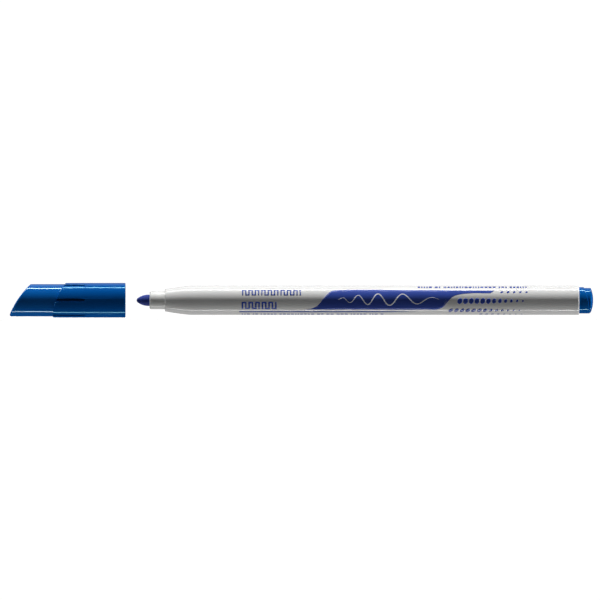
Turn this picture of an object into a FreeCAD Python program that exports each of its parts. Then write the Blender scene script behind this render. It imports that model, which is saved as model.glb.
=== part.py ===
"""Slim felt tip marker with its push-on cap drawn off in front of the nib.

The marker's axis is the X axis, the nib points to -X, and the cap is in line in front of the nib.
The origin is on that axis, inside the barrel, at the middle of the whole length with the cap drawn off.
All sizes are in millimetres. Each one that can be set by itself is a cell of the spreadsheet.
"""

import FreeCAD, Part

import math
import os

import Sketcher

SHEET = "Sizes"

# alias, number, what it is
SIZES = [
    ("barrel_length", 124.2, "barrel, front rim to rear face"),
    ("barrel_diameter", 8.7, "barrel, outside"),
    ("barrel_wall", 0.8, "barrel wall along the ink reservoir"),
    ("shoulder_length", 7.5, "tapered front of the barrel"),
    ("shoulder_rim", 0.65, "flat ring at the barrel's front, round the neck"),
    ("shoulder_bow", 88.0, "radius of the shoulder's gently bowed outline"),
    ("land_length", 3.0, "bore at the barrel's front that grips the nib holder"),
    ("front_chamber_length", 10.0, "front rim to the start of the wide chamber"),
    ("barrel_rib_count", 6, "ribs that centre the reservoir"),
    ("barrel_rib_height", 0.25, "how far they stand in from the chamber wall"),
    ("barrel_rib_width", 0.5, "their width"),
    ("rib_setback", 2.0, "the ribs stop this far short of the reservoir's rear end"),
    ("snap_depth", 0.15, "ring groove for the end plug's bead"),
    ("snap_width", 1.1, "its width"),
    ("snap_place", 5.1, "its middle, in from the barrel's rear face"),
    ("edge_round", 0.25, "rounding of the moulded outer edges"),
    ("press_clearance", 0.02, "gap left between pieces that are pressed together"),
    ("neck_diameter", 5.3, "nib holder, outside"),
    ("neck_length", 4.62, "nib holder that shows in front of the barrel"),
    ("neck_chamfer", 0.35, "bevel on its front rim"),
    ("collar_width", 1.2, "flange that stops it against the barrel's land"),
    ("tail_step", 0.15, "its tail is thinner than its neck by this, per side"),
    ("tail_length", 7.0, "tail behind the flange"),
    ("vent_count", 4, "air grooves along the nib"),
    ("vent_width", 0.4, "their width"),
    ("vent_depth", 0.3, "their depth"),
    ("nib_diameter", 3.4, "nib rod"),
    ("nib_projection", 3.9, "nib that stands out of the holder"),
    ("nib_point_length", 3.5, "rounded bullet point"),
    ("nib_nose_radius", 0.8, "radius of the very point"),
    ("nib_tail_cone", 4.0, "sharpened tail"),
    ("nib_tail_diameter", 1.6, "its blunt end"),
    ("nib_bite", 7.0, "how far the tail runs into the reservoir"),
    ("reservoir_gap", 4.4, "nib holder's tail to the reservoir"),
    ("reservoir_bevel", 0.2, "worn edge of the fibre bundle"),
    ("film_thickness", 0.1, "film wrapped round the fibres"),
    ("plug_setback", 0.4, "its collar is smaller than the barrel by this, per side"),
    ("plug_step", 0.25, "step from the collar down to the button, per side"),
    ("plug_cut_top", 1.4, "oblique end of the collar, at the top"),
    ("plug_cut_bottom", 3.2, "the same, at the bottom"),
    ("plug_cut_bow", 30.0, "bow of that oblique end"),
    ("plug_button", 0.3, "straight part of the button, from the collar to the dome"),
    ("plug_dome", 0.75, "height of the domed end"),
    ("plug_wall", 0.9, "wall of the spigot"),
    ("plug_core_depth", 1.6, "the spigot's hollow runs this far into the head"),
    ("spigot_length", 7.0, "full ring of the spigot"),
    ("prong_count", 4, "prongs that hold the reservoir forward"),
    ("prong_length", 6.6, "prongs in front of that ring"),
    ("prong_gap", 3.0, "space between two prongs"),
    ("bead_height", 0.13, "snap bead on the spigot"),
    ("bead_width", 0.7, "its width"),
    ("cap_gap", 3.35, "cap's mouth to the nib's point, drawn off"),
    ("cap_clearance", 0.2, "cap sleeve over the barrel, per side"),
    ("sleeve_wall", 0.65, "wall of the cap's outer sleeve"),
    ("cap_step", 0.35, "step from the sleeve down to the tip piece that it is pushed over, per side"),
    ("sleeve_cut_top", 17.9, "mouth to the sleeve's oblique front, at the top"),
    ("sleeve_cut_bottom", 21.75, "the same, at the bottom"),
    ("sleeve_cut_bow", 16.5, "bow of that oblique front"),
    ("slot_count", 6, "breathing slots round the sleeve"),
    ("slot_width", 0.85, "their width"),
    ("slot_end", 12.15, "mouth to the closed end of a slot"),
    ("grip_rib_height", 0.12, "ribs inside the sleeve that hold the barrel"),
    ("grip_rib_width", 0.6, "their width"),
    ("grip_rib_start", 2.0, "mouth to the start of a rib"),
    ("grip_rib_end", 11.5, "mouth to the end of a rib"),
    ("tip_wall", 0.82, "thinnest wall between the seal's closed end and the oblique end"),
    ("tip_cut_rise", 6.5, "how far the oblique end leans back over the cap's height"),
    ("tip_cut_bow", 28.0, "bow of the oblique end"),
    ("tip_round", 0.5, "rounding of its edge"),
    ("slot_land", 0.45, "the tip piece's tube runs this far past the closed ends of the slots"),
    ("cone_start", 14.4, "mouth to the flared bore that the barrel's shoulder goes into"),
    ("cone_clearance", 0.22, "that bore over the shoulder, per side"),
    ("seat_depth", 19.25, "mouth to the barrel's front rim with the cap on"),
    ("stop_gap", 0.15, "barrel's front rim to the seal's rim with the cap on"),
    ("seal_clearance", 0.1, "seal bore over the neck, per side"),
    ("seal_wall", 1.0, "wall of the seal round the neck"),
    ("seal_lead", 0.4, "lead-in bevel at the seal's rim"),
    ("seal_bead_width", 0.8, "sealing ring inside the bore"),
    ("neck_room", 0.4, "space in front of the neck"),
    ("nib_room", 0.85, "space in front of the nib's point"),
    ("nib_side_room", 0.5, "space round the nib"),
    ("cup_wall", 0.7, "wall of the seal round the nib"),
    ("cup_end", 0.8, "closed end of the seal"),
    ("cup_step", 0.65, "neck room to the seal's outer step"),
]


class Dim:
    """A size that carries both its number and the spreadsheet expression that gives it."""

    def __init__(self, value, text):
        self.value = value
        self.text = text

    def __add__(self, other):
        other = dim(other)
        return Dim(self.value + other.value, f"({self.text} + {other.text})")

    def __radd__(self, other):
        return dim(other) + self

    def __sub__(self, other):
        other = dim(other)
        return Dim(self.value - other.value, f"({self.text} - {other.text})")

    def __neg__(self):
        return Dim(-self.value, f"(0 - {self.text})")

    def __mul__(self, other):
        other = dim(other)
        return Dim(self.value * other.value, f"({self.text} * {other.text})")

    def __rmul__(self, other):
        return dim(other) * self

    def __truediv__(self, other):
        other = dim(other)
        return Dim(self.value / other.value, f"({self.text} / {other.text})")

    def root(self):
        return Dim(math.sqrt(self.value), f"sqrt({self.text})")


def dim(number):
    """A plain number as a Dim."""
    return number if isinstance(number, Dim) else Dim(float(number), repr(number))


class Sizes:
    """The driving dimensions by name, each a Dim that reads its spreadsheet cell."""

    def __init__(self):
        for alias, number, _ in SIZES:
            setattr(self, alias, Dim(float(number), f"{SHEET}.{alias}"))


doc = FreeCAD.newDocument("marker")
s = Sizes()
ZERO = dim(0)

# ---- sizes that follow from the driving ones ----

barrel_r = s.barrel_diameter / 2
chamber_r = barrel_r - s.barrel_wall
neck_r = s.neck_diameter / 2
nib_r = s.nib_diameter / 2
land_r = neck_r + s.press_clearance
collar_r = (neck_r + chamber_r) / 2
front_chamber_r = collar_r + s.press_clearance
shoulder_r = neck_r + s.shoulder_rim

# depths behind the barrel's front rim
flange_start = s.land_length + s.press_clearance
tail_end = flange_start + s.collar_width + s.tail_length
reservoir_start = tail_end + s.reservoir_gap
prong_start = s.barrel_length - s.spigot_length - s.prong_length
reservoir_end = prong_start - s.press_clearance
reservoir_length = reservoir_end - reservoir_start
nib_length = s.nib_projection + s.neck_length + reservoir_start + s.nib_bite
film_r = chamber_r - s.barrel_rib_height - s.press_clearance
fibre_r = film_r - s.film_thickness - s.press_clearance

spigot_r = chamber_r - s.press_clearance
plug_collar_r = barrel_r - s.plug_setback
plug_head_r = plug_collar_r - s.plug_step
plug_head_length = s.plug_cut_bottom + s.plug_button + s.plug_dome

sleeve_bore_r = barrel_r + s.cap_clearance
sleeve_r = sleeve_bore_r + s.sleeve_wall
tip_r = sleeve_r - s.cap_step
sleeve_seat_r = tip_r + s.press_clearance

seal_bore_r = neck_r + s.seal_clearance
seal_r = seal_bore_r + s.seal_wall
cup_bore_r = nib_r + s.nib_side_room
cup_r = cup_bore_r + s.cup_wall
# depths inside the cap, from its mouth
sleeve_seat_end = s.slot_end - s.slot_land
seal_rim = s.seat_depth + s.stop_gap
neck_room_end = s.seat_depth + s.neck_length + s.neck_room
nib_room_end = s.seat_depth + s.neck_length + s.nib_projection + s.nib_room
seal_step = neck_room_end + s.cup_step
seal_end = nib_room_end + s.cup_end

# The oblique end of the cap is an arc over this chord, leaning back by the rise over the tip's height.
tip_chord = (s.tip_cut_rise * s.tip_cut_rise + 4 * tip_r * tip_r).root()
tip_centre_off = (s.tip_cut_bow * s.tip_cut_bow - tip_chord * tip_chord / 4).root()
tip_centre_back = s.tip_cut_rise / 2 + tip_centre_off * 2 * tip_r / tip_chord
tip_centre_drop = tip_centre_off * s.tip_cut_rise / tip_chord
# how far behind the lower corner the arc is at the height of the seal's upper edge
seal_corner = cup_r + s.press_clearance + tip_centre_drop
tip_lean = tip_centre_back - (s.tip_cut_bow * s.tip_cut_bow - seal_corner * seal_corner).root()
cap_length = seal_end + s.press_clearance + s.tip_wall + tip_lean

# ---- places along X in the row's frame ----

marker_length = s.nib_projection + s.neck_length + s.barrel_length + plug_head_length
whole_length = cap_length + s.cap_gap + marker_length
cap_mouth_x = cap_length - whole_length / 2
nib_point_x = cap_mouth_x + s.cap_gap
holder_front_x = nib_point_x + s.nib_projection
barrel_front_x = holder_front_x + s.neck_length
barrel_rear_x = barrel_front_x + s.barrel_length

# ---- helpers ----


def make_sheet():
    """The spreadsheet of driving dimensions: what each is, its number, and its alias."""
    sheet = doc.addObject("Spreadsheet::Sheet", SHEET)
    for row, (alias, number, meaning) in enumerate(SIZES, start=1):
        sheet.set(f"A{row}", meaning)
        sheet.set(f"B{row}", str(number))
        sheet.setAlias(f"B{row}", alias)
    doc.recompute()
    return sheet


def make_body(name, place_x):
    """A body named for its piece, whose own X axis is the marker's axis."""
    body = doc.addObject("PartDesign::Body", name)
    body.Label = name
    body.setExpression("Placement.Base.x", place_x.text)
    return body


def origin_feature(body, role):
    return next(f for f in body.Origin.OriginFeatures if f.Role == role)


def outline(body, name, corners, bows=None):
    """A closed sketch in the body's XZ plane: corners are (along, out) Dims.

    bows maps a corner's number to (radius, side): the edge that leaves that corner is an arc of that
    radius which bulges to the left (side 1) or to the right (side -1) of the way it runs.
    """
    bows = bows or {}
    sketch = body.newObject("Sketcher::SketchObject", f"{body.Name}_{name}")
    sketch.AttachmentSupport = (origin_feature(body, "XZ_Plane"), [""])
    sketch.MapMode = "FlatFace"
    points = [FreeCAD.Vector(a.value, b.value, 0) for a, b in corners]
    count = len(points)
    # An arc runs anticlockwise in a sketch, so one that bulges to the left has its ends swapped.
    first = [2 if i in bows and bows[i][1] > 0 else 1 for i in range(count)]
    for i, start in enumerate(points):
        end = points[(i + 1) % count]
        if i not in bows:
            sketch.addGeometry(Part.LineSegment(start, end))
            continue
        radius, side = bows[i]
        chord = end - start
        rise = radius.value - math.sqrt(radius.value**2 - (chord.Length / 2) ** 2)
        left = FreeCAD.Vector(-chord.y, chord.x, 0).normalize()
        middle = (start + end) / 2 + left * (side * rise)
        ends = (start, end) if side < 0 else (end, start)
        sketch.addGeometry(Part.Arc(ends[0], middle, ends[1]))
    for i in range(count):
        after = (i + 1) % count
        sketch.addConstraint(Sketcher.Constraint("Coincident", i, 3 - first[i], after, first[after]))
    for i, (along, out) in enumerate(corners):
        hold_point(sketch, i, first[i], along, "DistanceX", -2)
        hold_point(sketch, i, first[i], out, "DistanceY", -1)
        if i in bows:
            radius = bows[i][0]
            number = sketch.addConstraint(Sketcher.Constraint("Radius", i, radius.value))
            sketch.setExpression(f"Constraints[{number}]", radius.text)
    return sketch


def hold_point(sketch, edge, end, place, kind, axis):
    """Ties one coordinate of an edge's end to its expression, or to the sketch axis where it is nought."""
    if place is ZERO:
        sketch.addConstraint(Sketcher.Constraint("PointOnObject", edge, end, axis))
        return
    number = sketch.addConstraint(Sketcher.Constraint(kind, -1, 1, edge, end, place.value))
    sketch.setExpression(f"Constraints[{number}]", place.text)


def turned(body, name, corners, bows=None):
    """Material turned about the marker's axis from an outline."""
    sketch = outline(body, name, corners, bows)
    feature = body.newObject("PartDesign::Revolution", f"{body.Name}_{name}_turned")
    feature.Profile = sketch
    feature.ReferenceAxis = (sketch, ["H_Axis"])
    feature.Angle = 360
    doc.recompute()
    return feature


def bored(body, name, corners):
    """A hollow turned about the marker's axis and taken out of the body."""
    sketch = outline(body, name, corners)
    feature = body.newObject("PartDesign::Groove", f"{body.Name}_{name}_bored")
    feature.Profile = sketch
    feature.ReferenceAxis = (sketch, ["H_Axis"])
    feature.Angle = 360
    return lose_material(body, feature)


def cut_away(body, name, corners, bows=None, one_sided=False, keep_seams=False):
    """Everything behind an outline is cut off, through the body to both sides or from its axis to -Y.

    With keep_seams, arcs of one radius that follow each other stay apart in the face that they cut.
    """
    sketch = outline(body, name, corners, bows)
    feature = body.newObject("PartDesign::Pocket", f"{body.Name}_{name}_cut")
    feature.Profile = sketch
    feature.Type = "ThroughAll"
    if one_sided:
        feature.Reversed = True
    else:
        feature.SideType = "Symmetric"
    feature.Refine = not keep_seams
    return lose_material(body, feature)


def lose_material(body, feature):
    """Rebuilds, and makes sure that a cut has taken something away."""
    before = feature.BaseFeature.Shape.Volume
    doc.recompute()
    if not body.Shape.Volume < before:
        raise RuntimeError(f"{feature.Name} cut nothing")
    return feature


def ring_of(body, feature, count):
    """Repeats a feature evenly round the marker's axis."""
    pattern = body.newObject("PartDesign::PolarPattern", f"{feature.Name}_ring")
    pattern.Originals = [feature]
    pattern.Axis = (origin_feature(body, "X_Axis"), [""])
    pattern.Angle = 360
    pattern.Occurrences = int(count.value)
    pattern.setExpression("Occurrences", count.text)
    body.Tip = pattern
    doc.recompute()
    return pattern


def rib(body, name, start, end, inner, outer, width):
    """A straight rib that stands in from the wall at the top of a bore."""
    corners = [(start, inner), (end, inner), (end, outer), (start, outer)]
    feature = body.newObject("PartDesign::Pad", f"{body.Name}_{name}")
    feature.Profile = outline(body, name, corners)
    feature.SideType = "Symmetric"
    feature.setExpression("Length", width.text)
    doc.recompute()
    return feature


def soften(body, name, edges, radius, kind="PartDesign::Fillet"):
    """Rounds or bevels the edges that the given test picks out of the body."""
    tip = body.Tip
    picked = [f"Edge{i}" for i, edge in enumerate(tip.Shape.Edges, start=1) if edges(edge)]
    if not picked:
        raise RuntimeError(f"{body.Name}_{name} found no edge")
    feature = body.newObject(kind, f"{body.Name}_{name}")
    feature.Base = (tip, picked)
    size = "Radius" if kind == "PartDesign::Fillet" else "Size"
    feature.setExpression(size, radius.text)
    doc.recompute()
    return feature


def circle_at(along, radius):
    """A test for a whole circle round the axis, at a place along it and of a radius."""

    def test(edge):
        if edge.Degenerated or len(edge.Vertexes) > 1:
            return False
        curve = edge.Curve
        if not isinstance(curve, Part.Circle):
            return False
        near_place = abs(curve.Center.x - along.value) < 1e-4
        return near_place and abs(curve.Radius - radius.value) < 1e-4

    return test


def rim_of_cut(body, bow):
    """A test for an edge round the cut faces that have the given bow, but not one between two of them."""
    faces = [
        f
        for f in body.Tip.Shape.Faces
        if isinstance(f.Surface, Part.Cylinder) and abs(f.Surface.Radius - bow.value) < 1e-4
    ]
    return lambda edge: sum(edge.isSame(e) for f in faces for e in f.Edges) == 1


# ---- the pieces of the marker ----


def make_barrel():
    """White tube: bowed shoulder, land for the nib holder, ribbed chamber, snap groove at the rear."""
    body = make_body("barrel", barrel_front_x)
    groove_front = s.barrel_length - s.snap_place - s.snap_width / 2
    groove_rear = s.barrel_length - s.snap_place + s.snap_width / 2
    groove_r = chamber_r + s.snap_depth
    corners = [
        (ZERO, land_r),
        (ZERO, shoulder_r),
        (s.shoulder_length, barrel_r),
        (s.barrel_length, barrel_r),
        (s.barrel_length, chamber_r),
        (groove_rear, chamber_r),
        (groove_rear, groove_r),
        (groove_front, groove_r),
        (groove_front, chamber_r),
        (s.front_chamber_length, chamber_r),
        (s.front_chamber_length, front_chamber_r),
        (s.land_length, front_chamber_r),
        (s.land_length, land_r),
    ]
    turned(body, "wall", corners, {1: (s.shoulder_bow, 1)})
    ends = (circle_at(ZERO, shoulder_r), circle_at(s.barrel_length, barrel_r))
    soften(body, "ends", lambda edge: any(test(edge) for test in ends), s.edge_round)
    rib_tip = chamber_r - s.barrel_rib_height
    rib_root = chamber_r + s.barrel_wall / 4
    rib_end = reservoir_end - s.rib_setback
    first = rib(body, "rib", s.front_chamber_length, rib_end, rib_tip, rib_root, s.barrel_rib_width)
    ring_of(body, first, s.barrel_rib_count)
    return body


def make_nib_holder():
    """White turned insert: the neck that shows, a flange inside the barrel, a tail, and air grooves."""
    body = make_body("nib_holder", holder_front_x)
    bore = nib_r + s.press_clearance
    flange = s.neck_length + flange_start
    tail = flange + s.collar_width
    end = s.neck_length + tail_end
    tail_r = neck_r - s.tail_step
    corners = [
        (ZERO, bore),
        (ZERO, neck_r - s.neck_chamfer),
        (s.neck_chamfer, neck_r),
        (flange, neck_r),
        (flange, collar_r),
        (tail, collar_r),
        (tail, tail_r),
        (end, tail_r),
        (end, bore),
    ]
    turned(body, "wall", corners)
    half = s.vent_width / 2
    reach = bore + s.vent_depth
    corners = [(-half, bore / 2), (half, bore / 2), (half, reach), (-half, reach)]
    groove = vent_groove(body, corners, end)
    ring_of(body, groove, s.vent_count)
    return body


def vent_groove(body, corners, length):
    """One air groove, cut the whole length of the nib's bore from a sketch across the axis."""
    sketch = outline(body, "vent", corners)
    sketch.AttachmentSupport = (origin_feature(body, "YZ_Plane"), [""])
    feature = body.newObject("PartDesign::Pocket", f"{body.Name}_vent_cut")
    feature.Profile = sketch
    feature.setExpression("Length", (length + 1).text)
    feature.Reversed = True
    return lose_material(body, feature)


def make_nib():
    """Pressed fibre nib: bullet point of two arcs that meet smoothly, rod, sharpened tail."""
    body = make_body("nib", nib_point_x)
    nose = s.nib_nose_radius
    reach = s.nib_point_length - nose
    flank = (reach * reach + nib_r * nib_r - nose * nose) / (2 * (nib_r - nose))
    # The two arcs touch on the line through their centres.
    share = flank / (flank - nose)
    touch_x = s.nib_point_length - share * reach
    touch_r = share * (flank - nib_r) - (flank - nib_r)
    tail_start = nib_length - s.nib_tail_cone
    corners = [
        (ZERO, ZERO),
        (touch_x, touch_r),
        (s.nib_point_length, nib_r),
        (tail_start, nib_r),
        (nib_length, s.nib_tail_diameter / 2),
        (nib_length, ZERO),
    ]
    turned(body, "rod", corners, {0: (nose, 1), 1: (flank, 1)})
    return body


def make_reservoir_core():
    """Fibre bundle with the pit that the nib's tail has pressed into it."""
    body = make_body("reservoir_core", barrel_front_x + reservoir_start)
    gap = s.press_clearance
    bevel = s.reservoir_bevel
    pit_end = s.nib_bite + gap
    corners = [
        (ZERO, nib_r + gap),
        (ZERO, fibre_r - bevel),
        (bevel, fibre_r),
        (reservoir_length - bevel, fibre_r),
        (reservoir_length, fibre_r - bevel),
        (reservoir_length, ZERO),
        (pit_end, ZERO),
        (pit_end, s.nib_tail_diameter / 2 + gap),
        (pit_end - s.nib_tail_cone, nib_r + gap),
    ]
    turned(body, "bundle", corners)
    return body


def make_reservoir_film():
    """Thin film tube wrapped round the fibre bundle."""
    body = make_body("reservoir_film", barrel_front_x + reservoir_start)
    inner = film_r - s.film_thickness
    corners = [(ZERO, inner), (ZERO, film_r), (reservoir_length, film_r), (reservoir_length, inner)]
    turned(body, "wrap", corners)
    return body


def make_end_plug():
    """Blue plug: obliquely cut collar, domed button, hollow spigot with a snap bead, four prongs."""
    body = make_body("end_plug", barrel_rear_x)
    collar = [
        (ZERO, ZERO),
        (ZERO, plug_collar_r),
        (s.plug_cut_bottom, plug_collar_r),
        (s.plug_cut_bottom, ZERO),
    ]
    turned(body, "collar", collar)
    beyond = s.plug_cut_bottom + 1
    oblique = [
        (s.plug_cut_top, plug_collar_r),
        (s.plug_cut_bottom, -plug_collar_r),
        (beyond, -plug_collar_r),
        (beyond, plug_collar_r),
    ]
    cut_away(body, "oblique", oblique, {0: (s.plug_cut_bow, 1)})
    dome_r = (plug_head_r * plug_head_r + s.plug_dome * s.plug_dome) / (2 * s.plug_dome)
    dome_start = plug_head_length - s.plug_dome
    prong_end = -s.spigot_length - s.prong_length
    bead_rear = s.bead_width / 2 - s.snap_place
    bead_front = -s.bead_width / 2 - s.snap_place
    bore = spigot_r - s.plug_wall
    button = [
        (ZERO, spigot_r),
        (ZERO, plug_head_r),
        (dome_start, plug_head_r),
        (plug_head_length, ZERO),
        (s.plug_core_depth, ZERO),
        (s.plug_core_depth, bore),
        (prong_end, bore),
        (prong_end, spigot_r),
        (bead_front - s.bead_height, spigot_r),
        (bead_front, spigot_r + s.bead_height),
        (bead_rear, spigot_r + s.bead_height),
        (bead_rear + s.bead_height, spigot_r),
    ]
    turned(body, "button", button, {2: (dome_r, 1)})
    half = s.prong_gap / 2
    gap = [(prong_end - 1, -half), (-s.spigot_length, -half), (-s.spigot_length, half), (prong_end - 1, half)]
    ring_of(body, cut_away(body, "gap", gap, one_sided=True), s.prong_count)
    soften(body, "rim", circle_at(dome_start, plug_head_r), s.edge_round)
    return body


def make_cap_sleeve():
    """Outer sleeve of the cap: oblique front edge with six open slots, grip ribs inside the mouth."""
    body = make_body("cap_sleeve", cap_mouth_x)
    tube = [
        (-s.sleeve_cut_bottom, sleeve_seat_r),
        (-s.sleeve_cut_bottom, sleeve_r),
        (ZERO, sleeve_r),
        (ZERO, sleeve_bore_r),
        (-sleeve_seat_end, sleeve_bore_r),
        (-sleeve_seat_end, sleeve_seat_r),
    ]
    turned(body, "tube", tube)
    top = (-s.sleeve_cut_top, sleeve_r)
    bottom = (-s.sleeve_cut_bottom, -sleeve_r)
    beyond = -s.sleeve_cut_bottom - 5
    cut_away(body, "front", [bottom, top, (beyond, sleeve_r), (beyond, -sleeve_r)], {0: (s.sleeve_cut_bow, 1)})
    half = s.slot_width / 2
    slot = [(beyond, -half), (-s.slot_end, -half), (-s.slot_end, half), (beyond, half)]
    ring_of(body, cut_away(body, "slot", slot, one_sided=True), s.slot_count)
    rib_tip = sleeve_bore_r - s.grip_rib_height
    rib_root = sleeve_bore_r + s.sleeve_wall / 4
    first = rib(body, "grip", -s.grip_rib_end, -s.grip_rib_start, rib_tip, rib_root, s.grip_rib_width)
    ring_of(body, first, s.slot_count)
    soften(body, "mouth", circle_at(ZERO, sleeve_r), s.edge_round)
    return body


def make_cap_tip():
    """Tip piece of the cap: oblique bowed end on a straight tube that the sleeve is pushed over."""
    body = make_body("cap_tip", cap_mouth_x)
    front = -cap_length
    back = -sleeve_seat_end - s.press_clearance
    turned(body, "tube", [(front, ZERO), (front, tip_r), (back, tip_r), (back, ZERO)])
    beyond = front - 2
    # The oblique arc is drawn as two halves, so that its rim is rounded in parts that each close.
    crown = s.tip_cut_bow - tip_centre_off
    crown_x = front + s.tip_cut_rise / 2 - 2 * tip_r * crown / tip_chord
    middle = (crown_x, s.tip_cut_rise * crown / tip_chord)
    end = [(front, -tip_r), middle, (front + s.tip_cut_rise, tip_r), (beyond, tip_r), (beyond, -tip_r)]
    cut_away(body, "end", end, {i: (s.tip_cut_bow, 1) for i in (0, 1)}, keep_seams=True)
    soften(body, "rounding", rim_of_cut(body, s.tip_cut_bow), s.tip_round)
    wide = seal_r + s.press_clearance
    narrow = cup_r + s.press_clearance
    step = -seal_step - s.press_clearance
    pit = -seal_end - s.press_clearance
    # the flared bore where it goes over the barrel's shoulder with the cap on
    reach = s.seat_depth - s.cone_start
    cone_r = shoulder_r + (barrel_r - shoulder_r) * reach / s.shoulder_length + s.cone_clearance
    cavity = [
        (pit, ZERO),
        (pit, narrow),
        (step, narrow),
        (step, wide),
        (-seal_rim, wide),
        (-s.cone_start, cone_r),
        (back, sleeve_bore_r),
        (back, ZERO),
    ]
    bored(body, "cavity", cavity)
    return body


def make_cap_seal():
    """Soft cup inside the tip piece: it closes on the neck with a bead and keeps air off the nib."""
    body = make_body("cap_seal", cap_mouth_x)
    bead_r = neck_r + s.press_clearance
    bead_rise = seal_bore_r - bead_r
    bead_middle = (seal_rim + neck_room_end) / 2
    bead_front = bead_middle + s.seal_bead_width / 2
    bead_back = bead_middle - s.seal_bead_width / 2
    corners = [
        (-seal_rim, seal_bore_r + s.seal_lead),
        (-seal_rim, seal_r),
        (-seal_step, seal_r),
        (-seal_step, cup_r),
        (-seal_end, cup_r),
        (-seal_end, ZERO),
        (-nib_room_end, ZERO),
        (-nib_room_end, cup_bore_r),
        (-neck_room_end, cup_bore_r),
        (-neck_room_end, seal_bore_r),
        (-bead_front, seal_bore_r),
        (-bead_front + bead_rise, bead_r),
        (-bead_back - bead_rise, bead_r),
        (-bead_back, seal_bore_r),
        (-seal_rim - s.seal_lead, seal_bore_r),
    ]
    turned(body, "cup", corners)
    return body


# ---- build, check, write ----


def check_document():
    """Stops if any object of the document failed to rebuild."""
    doc.recompute()
    failed = [o.Name for o in doc.Objects if {"Invalid", "Error"} & set(o.State)]
    if failed:
        raise RuntimeError(f"these objects failed: {failed}")


def check_shape(body):
    """Stops if a piece has no sound solid."""
    shape = body.Shape
    if shape.isNull() or not shape.isValid() or len(shape.Solids) != 1:
        raise RuntimeError(f"{body.Label} is not one sound solid")


def main():
    make_sheet()
    pieces = [
        make_barrel(),
        make_nib_holder(),
        make_nib(),
        make_reservoir_core(),
        make_reservoir_film(),
        make_end_plug(),
        make_cap_sleeve(),
        make_cap_tip(),
        make_cap_seal(),
    ]
    check_document()
    for body in pieces:
        check_shape(body)
    os.makedirs("parts", exist_ok=True)
    for body in pieces:
        body.Shape.exportStep(f"parts/{body.Label}.step")
        box = body.Shape.BoundBox
        print(f"{body.Label}: x {box.XMin:.2f} to {box.XMax:.2f}, volume {body.Shape.Volume:.1f} mm3")


main()
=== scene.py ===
# %% [markdown]
# # A felt tip marker with its cap drawn off
#
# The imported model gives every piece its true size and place. This lesson gives each piece that shows
# its finished surface: a white barrel, the neck and the felt nib, a blue end plug, a blue cap of two
# mouldings, and the ink printed on the barrel. All of them are round things, so nearly every shape here
# is a profile carried round the marker's axis, which is the X axis.

import math

import bmesh
import bpy
import numpy as np
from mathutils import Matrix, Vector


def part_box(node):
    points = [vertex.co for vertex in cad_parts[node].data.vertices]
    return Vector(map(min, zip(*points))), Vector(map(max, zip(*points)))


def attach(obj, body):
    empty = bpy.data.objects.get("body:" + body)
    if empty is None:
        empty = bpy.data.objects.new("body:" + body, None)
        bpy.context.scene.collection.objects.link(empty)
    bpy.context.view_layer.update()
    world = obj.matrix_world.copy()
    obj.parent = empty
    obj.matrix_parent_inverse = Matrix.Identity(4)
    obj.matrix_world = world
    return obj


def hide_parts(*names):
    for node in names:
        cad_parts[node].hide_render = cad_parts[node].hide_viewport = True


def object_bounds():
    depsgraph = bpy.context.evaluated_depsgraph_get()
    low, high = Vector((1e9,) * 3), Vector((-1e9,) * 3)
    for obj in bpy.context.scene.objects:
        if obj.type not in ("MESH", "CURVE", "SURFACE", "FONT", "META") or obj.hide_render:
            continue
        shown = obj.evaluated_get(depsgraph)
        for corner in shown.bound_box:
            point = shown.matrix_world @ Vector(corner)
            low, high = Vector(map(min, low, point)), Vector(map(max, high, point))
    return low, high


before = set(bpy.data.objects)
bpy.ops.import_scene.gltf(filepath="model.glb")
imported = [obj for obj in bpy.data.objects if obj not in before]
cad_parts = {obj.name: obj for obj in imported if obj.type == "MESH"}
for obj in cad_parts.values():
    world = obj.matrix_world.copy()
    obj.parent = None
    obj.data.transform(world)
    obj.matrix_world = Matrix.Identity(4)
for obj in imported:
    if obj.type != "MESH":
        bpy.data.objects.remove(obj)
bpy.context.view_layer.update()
print("pieces in the packed model:", sorted(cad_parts))

# %% [markdown]
# ## Measures
#
# Each moulding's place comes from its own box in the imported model. The finer sizes, such as wall and
# bevel, are the maker's numbers in millimetres, so a small factor turns them into metres.

# %% Places along the marker and radii, in millimetres
MM = 0.001


def span(node):
    """Where a piece begins and ends along X, and its outer radius, in millimetres."""
    low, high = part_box(node)
    return low.x / MM, high.x / MM, high.y / MM


barrel_front, barrel_rear, barrel_r = span("barrel")
neck_front, holder_end, collar_r = span("nib_holder")
nib_point, nib_end, nib_r = span("nib")
prong_end, plug_end, plug_collar_r = span("end_plug")
_, cap_mouth, sleeve_r = span("cap_sleeve")
tip_front, tip_back, tip_r = span("cap_tip")
print(f"barrel {barrel_rear - barrel_front:.1f} mm long, {2 * barrel_r:.1f} mm across")

# %% [markdown]
# ## A skin from patches
#
# A surface is a function of two parameters: one runs along the marker and one runs round it. A patch is
# the grid of points that such a function gives. Patches that share an edge have the same points there,
# so welding them makes one closed skin, and a row that shrinks to one point becomes a closed pole.

# %% Helpers that build a skin
WELD = 2e-7  # metres: points nearer than this become one


def round_about(x, r, angle):
    """Points on circles round the X axis: x stays, y is minus r times the cosine of the angle, and z is
    r times its sine. Angle 0 faces -Y and a quarter turn faces up. The three are arrays that broadcast."""
    x, r, angle = np.broadcast_arrays(x, r, angle)
    return np.stack([x, -r * np.cos(angle), r * np.sin(angle)], axis=-1)


def quads(rows, cols, first):
    """Corner numbers of the faces of a grid: each face joins a point, its next in the row, and the two
    points after them."""
    at = first + np.arange(rows * cols).reshape(rows, cols)
    return np.stack([at[:-1, :-1], at[:-1, 1:], at[1:, 1:], at[1:, :-1]], axis=-1).reshape(-1, 4)


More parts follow.
